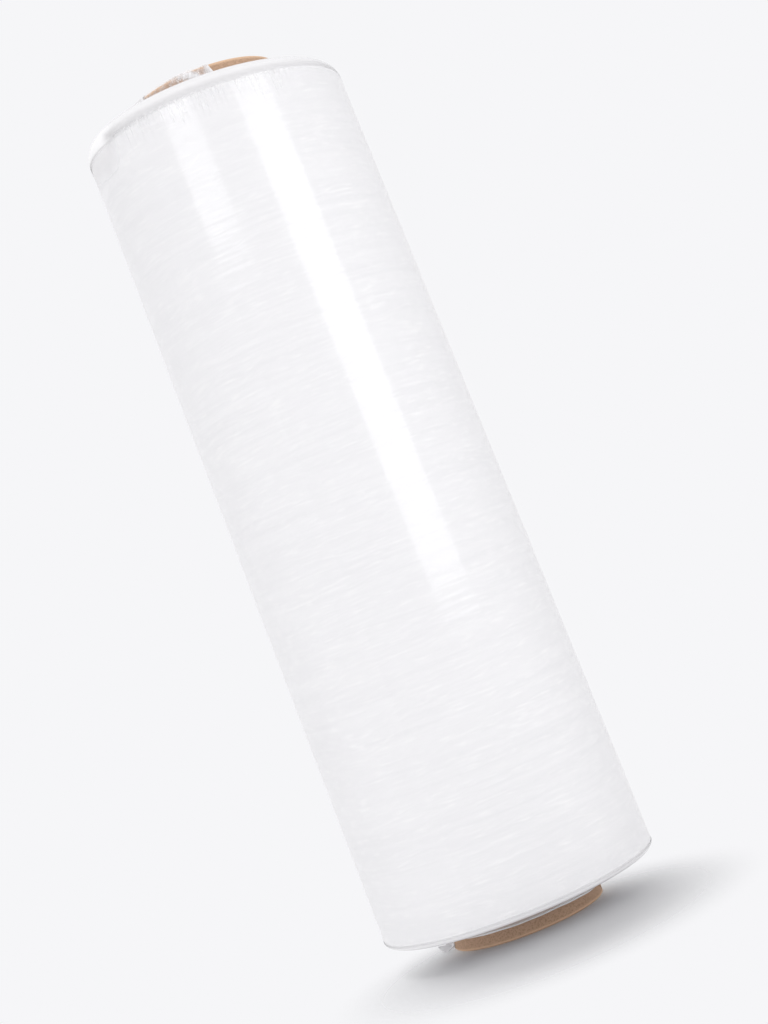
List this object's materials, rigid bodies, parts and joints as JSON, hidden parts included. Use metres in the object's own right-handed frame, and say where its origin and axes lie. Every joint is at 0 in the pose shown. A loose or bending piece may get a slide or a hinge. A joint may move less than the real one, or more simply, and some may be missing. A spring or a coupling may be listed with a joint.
{
  "type": "plastic film roll",
  "caption": "Hand roll of stretch film on a paperboard core, in a clear overwrap with pleated shoulders and ends gathered on to the core.",
  "frame": {"origin": "centre of the core's lower end, in the plane that the roll stands on", "axes": "+Z along the roll's axis from the lower end to the upper end, -Y towards the side that faces the viewer"},
  "size_m": [0.1533, 0.1534, 0.4804],
  "materials": {
    "core_board": "matte",
    "film": "gloss",
    "wrap": "clear gloss"
  },
  "bodies": {
    "root": {"core_tube": "core_board", "film_winding": "film", "overwrap": "wrap"}
  },
  "joints": []
}
